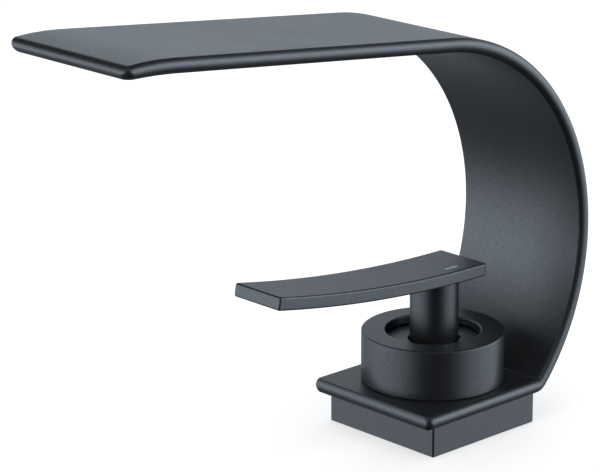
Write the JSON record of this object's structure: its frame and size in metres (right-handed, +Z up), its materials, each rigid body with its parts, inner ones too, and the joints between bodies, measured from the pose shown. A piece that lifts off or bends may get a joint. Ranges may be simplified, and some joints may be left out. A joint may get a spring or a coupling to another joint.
{
  "type": "basin mixer tap",
  "caption": "Deck-mounted single-lever basin mixer tap: square block, round lever ring and a broad flat strip bent into a C that reaches out as the spout.",
  "frame": {"origin": "middle of the square block's underside, on the deck, under the axis of the cartridge and ring", "axes": "+Z up out of the deck; the lever and the spout point along -Y, the arch stands behind on +Y; cold is on +X, hot on -X"},
  "size_m": [0.0576, 0.2087, 0.1604],
  "materials": {
    "satin_black_paint": "satin black paint over cast and sheet brass",
    "black_rubber": "smooth black rubber",
    "black_plastic": "moulded black plastic",
    "yellow_brass": "turned and milled brass",
    "white_plastic": "moulded off-white plastic",
    "white_ceramic": "lapped white ceramic",
    "bright_steel": "plain stainless steel",
    "blue_enamel": "pale blue enamel inlay",
    "red_enamel": "dull red enamel inlay"
  },
  "bodies": {
    "body": {"base_block": "satin_black_paint", "base_gasket": "black_rubber", "spout_arch": "satin_black_paint", "spout_seals": "black_rubber", "outlet_insert": "black_plastic", "dress_ring": "satin_black_paint", "ring_washer": "black_rubber", "retaining_nut": "yellow_brass", "cartridge_shell": "white_plastic", "cartridge_base": "white_plastic", "port_seals": "black_rubber", "disc_seals": "black_rubber", "fixed_disc": "white_ceramic"},
    "swivel": {"spindle_carrier": "white_plastic", "pivot_pin": "bright_steel"},
    "lever": {"spindle": "yellow_brass", "lever_stem": "satin_black_paint", "lever_blade": "satin_black_paint", "grub_screw": "bright_steel", "screw_plug": "satin_black_paint", "cold_mark": "blue_enamel", "hot_mark": "red_enamel"},
    "slider": {"moving_disc": "white_ceramic", "disc_driver": "white_plastic"},
    "cover": {"cover_disc": "satin_black_paint"}
  },
  "joints": [
    {"name": "lever_swing", "type": "hinge", "parent": "body", "child": "swivel", "pos_m": [0, 0, 0.027], "axis": [0, 0, 1], "range_deg": [-45, 45]},
    {"name": "lever_lift", "type": "hinge", "parent": "swivel", "child": "lever", "pos_m": [0, 0, 0.027], "axis": [-1, 0, 0], "range_deg": [0, 20]},
    {"name": "disc_slide", "type": "slide", "parent": "swivel", "child": "slider", "axis": [0, -1, 0], "range_m": [0, 0.0026]},
    {"name": "cover_slide", "type": "slide", "parent": "swivel", "child": "cover", "axis": [0, 1, 0], "range_m": [0, 0.0014]}
  ],
  "couplings": [
    {"joint": "disc_slide", "follows": "lever_lift", "m_per_rad": 0.00725},
    {"joint": "cover_slide", "follows": "lever_lift", "m_per_rad": 0.00391}
  ]
}
